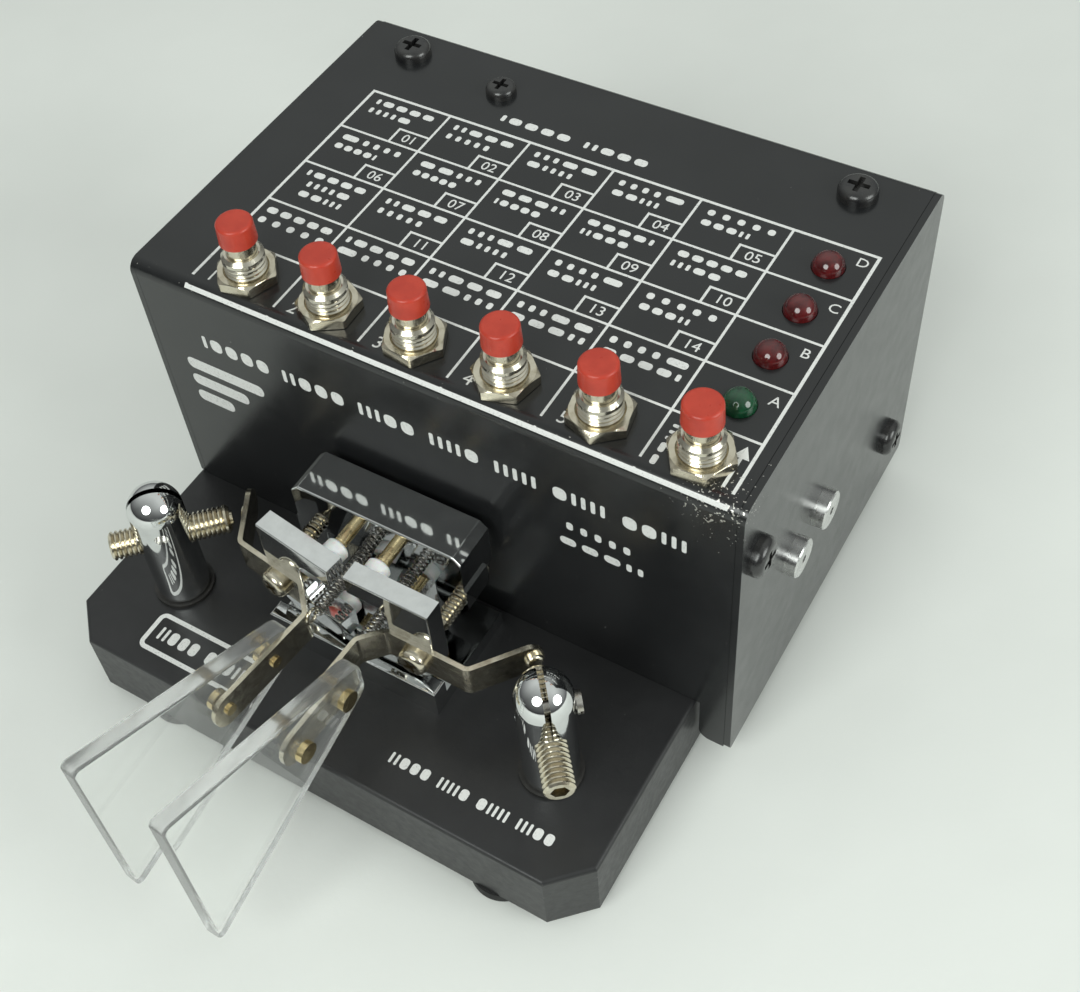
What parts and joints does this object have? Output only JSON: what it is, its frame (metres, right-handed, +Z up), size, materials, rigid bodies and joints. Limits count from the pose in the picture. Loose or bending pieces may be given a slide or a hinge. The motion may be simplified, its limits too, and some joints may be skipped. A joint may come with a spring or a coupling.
{
  "type": "morse key",
  "caption": "Dual-lever morse paddle with clear finger pieces, contact posts and needle bearings on a heavy base, with a steel keyer box carrying push buttons and lamps over the back.",
  "frame": {"origin": "on the table, under the middle of the whole object's bounding box", "axes": "+Z up; +Y from the operator's finger pieces towards the rear sockets; +X to the operator's right"},
  "size_m": [0.1088, 0.14, 0.0793],
  "materials": {
    "box_paint": "charcoal-black semi-gloss baked enamel, fine orange peel, worn to bright metal at some edges",
    "base_paint": "black fine-wrinkle enamel, lightly rubbed at the edges",
    "foot_rubber": "matte black rubber",
    "black_screw": "black oxide, satin",
    "steel_screw": "plain zinc-plated steel",
    "chrome": "polished chrome plate",
    "nickel": "bright nickel plate with a slight yellow tint",
    "brass": "machined brass",
    "nylon": "white nylon",
    "clear_plastic": "clear acrylic with bright cut edges",
    "red_cap": "red moulded plastic, soft sheen",
    "red_lens": "dark red diffused lamp plastic",
    "green_lens": "dark green diffused lamp plastic",
    "board": "green solder-masked board",
    "black_plastic": "black moulded plastic",
    "switch_metal": "bright nickel-plated bush",
    "battery_skin": "printed metal jacket with no lettering",
    "spring_wire": "bright spring wire",
    "boss_metal": "turned aluminium",
    "insulator": "black fibre"
  },
  "bodies": {
    "base": {"base_feet": "foot_rubber", "base_plate": "base_paint", "base_screws": "steel_screw", "battery": "battery_skin", "bearing_frame": "chrome", "board_spacer": "boss_metal", "case_chassis": "box_paint", "case_cover": "box_paint", "circuit_board": "board", "clamp_screws": "steel_screw", "cover_screws": "black_screw", "foot_plate": "chrome", "green_led": "green_lens", "jack_nut": "nickel", "keyer_chip": "black_plastic", "left_contact_post": "chrome", "left_lever_spring": "spring_wire", "needle_rods": "brass", "output_jack": "black_plastic", "post_bolts": "steel_screw", "post_insulators": "insulator", "power_jack": "black_plastic", "red_leds": "red_lens", "right_contact_post": "chrome", "right_lever_spring": "spring_wire", "side_bosses": "boss_metal", "sounder": "black_plastic", "spacer_screw": "black_screw", "switch_bodies": "switch_metal", "switch_nuts": "nickel"},
    "left_lever": {"left_lever_plate": "chrome", "left_bearing_cups": "nylon", "left_contact_arm": "nickel", "left_arm_screw": "nickel", "left_finger_piece": "clear_plastic", "left_finger_screws": "brass"},
    "left_contact": {"left_contact_screw": "nickel"},
    "left_stop": {"left_stop_screw": "nickel"},
    "right_lever": {"right_lever_plate": "chrome", "right_bearing_cups": "nylon", "right_contact_arm": "nickel", "right_arm_screw": "nickel", "right_finger_piece": "clear_plastic", "right_finger_screws": "brass"},
    "right_contact": {"right_contact_screw": "nickel"},
    "right_stop": {"right_stop_screw": "nickel"},
    "button_1": {"push_cap_1": "red_cap", "push_plunger_1": "nickel"},
    "button_2": {"push_cap_2": "red_cap", "push_plunger_2": "nickel"},
    "button_3": {"push_cap_3": "red_cap", "push_plunger_3": "nickel"},
    "button_4": {"push_cap_4": "red_cap", "push_plunger_4": "nickel"},
    "button_5": {"push_cap_5": "red_cap", "push_plunger_5": "nickel"},
    "button_6": {"push_cap_6": "red_cap", "push_plunger_6": "nickel"}
  },
  "joints": [
    {"name": "left_lever_swing", "type": "hinge", "parent": "base", "child": "left_lever", "pos_m": [-0.0077, -0.0199, 0.033], "axis": [0, 0, 1], "range_deg": [0, 4.4], "stiffness_Nm_per_rad": 0.02, "springref_deg": -2.86, "deforming": ["left_lever_spring"]},
    {"name": "right_lever_swing", "type": "hinge", "parent": "base", "child": "right_lever", "pos_m": [0.0001, -0.0199, 0.033], "axis": [0, 0, 1], "range_deg": [-2.2, 0], "stiffness_Nm_per_rad": 0.02, "springref_deg": 2.86, "deforming": ["right_lever_spring"]},
    {"name": "left_contact_adjust", "type": "slide", "parent": "base", "child": "left_contact", "axis": [0.7071, 0.7071, 0], "range_m": [-0.003, 0]},
    {"name": "right_contact_adjust", "type": "slide", "parent": "base", "child": "right_contact", "axis": [-0.6428, 0.766, 0], "range_m": [-0.003, 0]},
    {"name": "left_stop_adjust", "type": "slide", "parent": "base", "child": "left_stop", "axis": [0, -1, 0], "range_m": [-0.002, 0]},
    {"name": "right_stop_adjust", "type": "slide", "parent": "base", "child": "right_stop", "axis": [0, -1, 0], "range_m": [-0.002, 0]},
    {"name": "button_1_press", "type": "slide", "parent": "base", "child": "button_1", "axis": [0, 0, -1], "range_m": [0, 0.0018], "stiffness_N_per_m": 600, "springref_m": -0.001},
    {"name": "button_2_press", "type": "slide", "parent": "base", "child": "button_2", "axis": [0, 0, -1], "range_m": [0, 0.0018], "stiffness_N_per_m": 600, "springref_m": -0.001},
    {"name": "button_3_press", "type": "slide", "parent": "base", "child": "button_3", "axis": [0, 0, -1], "range_m": [0, 0.0018], "stiffness_N_per_m": 600, "springref_m": -0.001},
    {"name": "button_4_press", "type": "slide", "parent": "base", "child": "button_4", "axis": [0, 0, -1], "range_m": [0, 0.0018], "stiffness_N_per_m": 600, "springref_m": -0.001},
    {"name": "button_5_press", "type": "slide", "parent": "base", "child": "button_5", "axis": [0, 0, -1], "range_m": [0, 0.0018], "stiffness_N_per_m": 600, "springref_m": -0.001},
    {"name": "button_6_press", "type": "slide", "parent": "base", "child": "button_6", "axis": [0, 0, -1], "range_m": [0, 0.0018], "stiffness_N_per_m": 600, "springref_m": -0.001}
  ]
}
